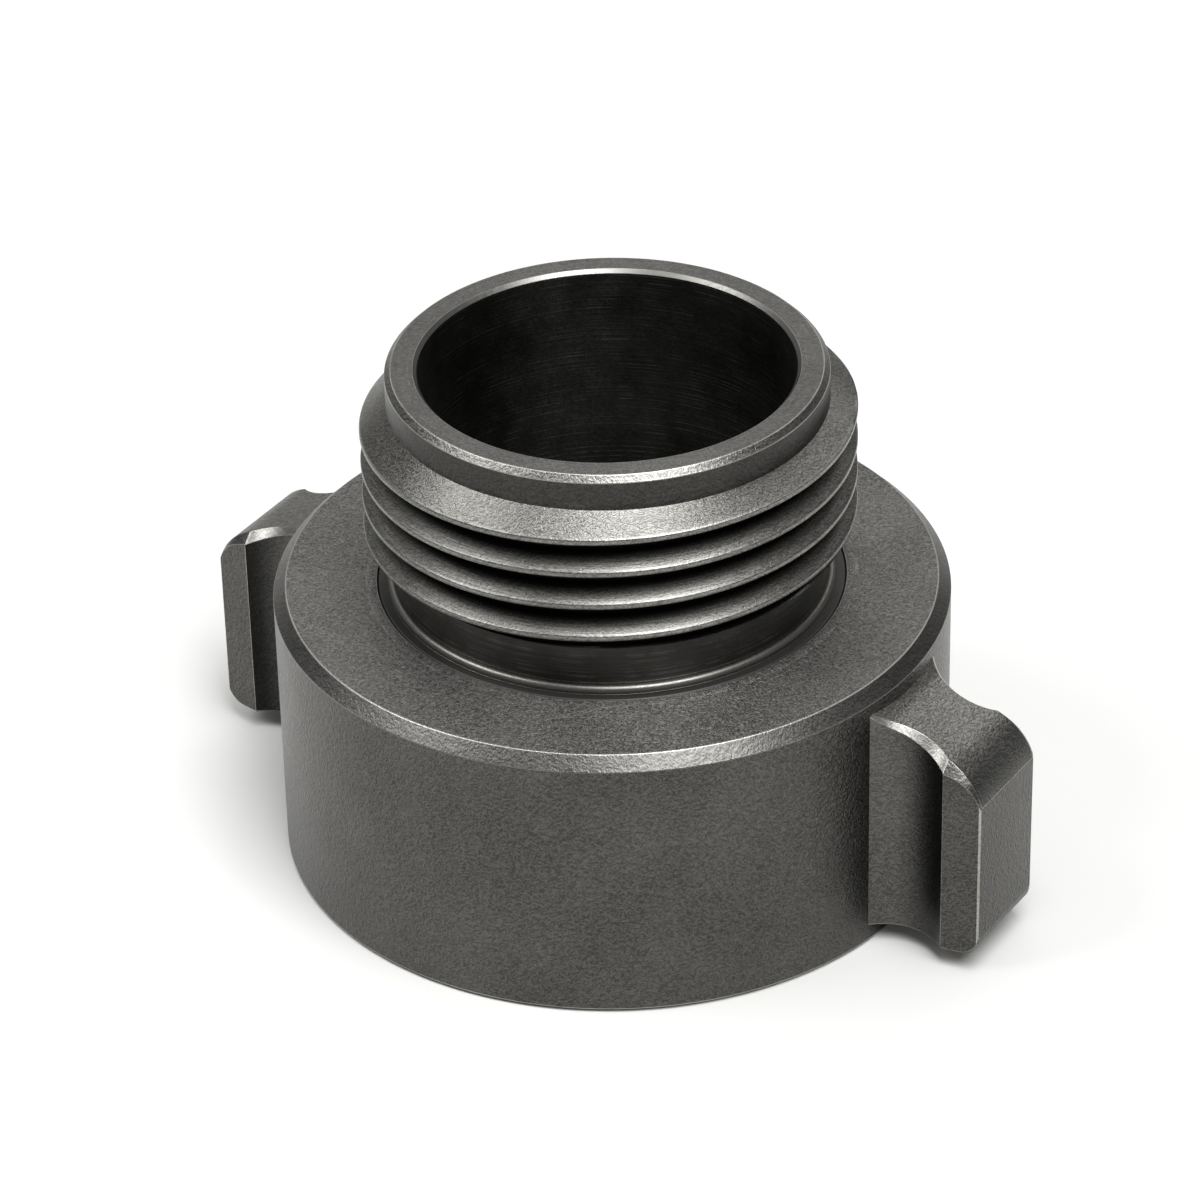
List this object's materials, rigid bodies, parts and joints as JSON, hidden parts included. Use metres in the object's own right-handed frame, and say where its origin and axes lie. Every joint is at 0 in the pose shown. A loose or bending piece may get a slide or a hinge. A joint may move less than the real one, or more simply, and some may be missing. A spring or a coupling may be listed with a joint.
{
  "type": "hose adapter",
  "caption": "Dark metal hose adapter with a two-lug swivel nut below and a short male thread with a plain pilot nose above.",
  "frame": {"origin": "on the common axis, in the plane of the swivel nut's foot, at the middle of the open female end", "axes": "+Z along the waterway towards the pilot nose; +X out through one wing lug, -X out through the other"},
  "size_m": [0.0932, 0.07, 0.0553],
  "materials": {
    "nut_metal": "blasted, dark hard-anodised",
    "nipple_metal": "turned, dark hard-anodised",
    "ring_steel": "drawn wire",
    "gasket_rubber": "moulded, matt"
  },
  "bodies": {
    "nut": {"swivel_nut": "nut_metal", "retaining_ring": "ring_steel", "hose_gasket": "gasket_rubber"},
    "nipple": {"male_nipple": "nipple_metal"}
  },
  "joints": [
    {"name": "swivel", "type": "hinge", "parent": "nut", "child": "nipple", "pos_m": [0, 0, 0.024], "axis": [0, 0, 1], "continuous": true}
  ]
}
